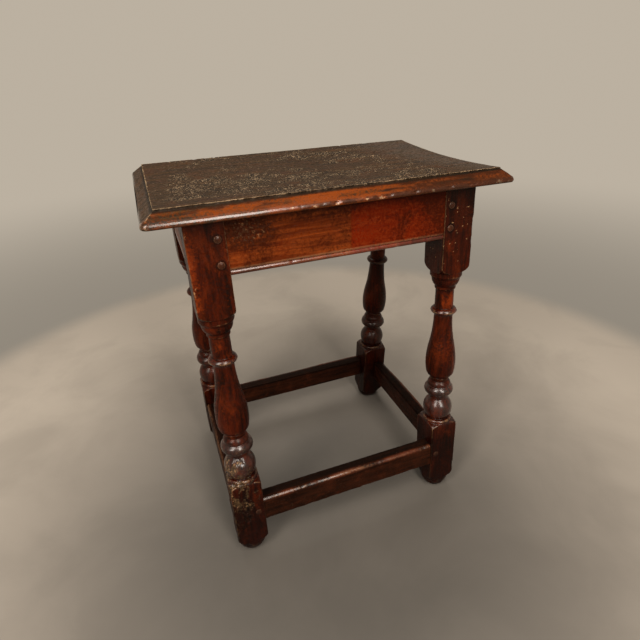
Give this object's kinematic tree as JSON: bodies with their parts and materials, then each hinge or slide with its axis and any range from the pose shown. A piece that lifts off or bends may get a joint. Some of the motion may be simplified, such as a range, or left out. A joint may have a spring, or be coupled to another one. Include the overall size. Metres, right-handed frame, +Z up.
{
  "type": "joint stool",
  "caption": "Oak joint stool: oblong moulded board on splayed turned legs, pegged to frieze rails above and stretchers below.",
  "frame": {"origin": "on the floor, under the middle of the stool", "axes": "+X along the long side to the right, -Y the front, +Z up"},
  "size_m": [0.47, 0.3192, 0.55],
  "materials": {
    "board_oak": "worn, waxed, dark oak",
    "leg_oak": "waxed, dark red-brown oak",
    "rail_oak": "waxed, red-brown oak",
    "stretcher_oak": "worn, dark red-brown oak",
    "peg_oak": "waxed oak end grain"
  },
  "bodies": {
    "root": {"top_board": "board_oak", "board_pegs": "board_oak", "front_left_leg": "leg_oak", "front_right_leg": "leg_oak", "rear_left_leg": "leg_oak", "rear_right_leg": "leg_oak", "front_frieze_rail": "rail_oak", "rear_frieze_rail": "rail_oak", "left_frieze_rail": "rail_oak", "right_frieze_rail": "rail_oak", "front_stretcher": "stretcher_oak", "rear_stretcher": "stretcher_oak", "left_stretcher": "stretcher_oak", "right_stretcher": "stretcher_oak", "front_frieze_rail_pegs": "peg_oak", "rear_frieze_rail_pegs": "peg_oak", "left_frieze_rail_pegs": "peg_oak", "right_frieze_rail_pegs": "peg_oak", "front_stretcher_pegs": "peg_oak", "rear_stretcher_pegs": "peg_oak", "left_stretcher_pegs": "peg_oak", "right_stretcher_pegs": "peg_oak"}
  },
  "joints": []
}
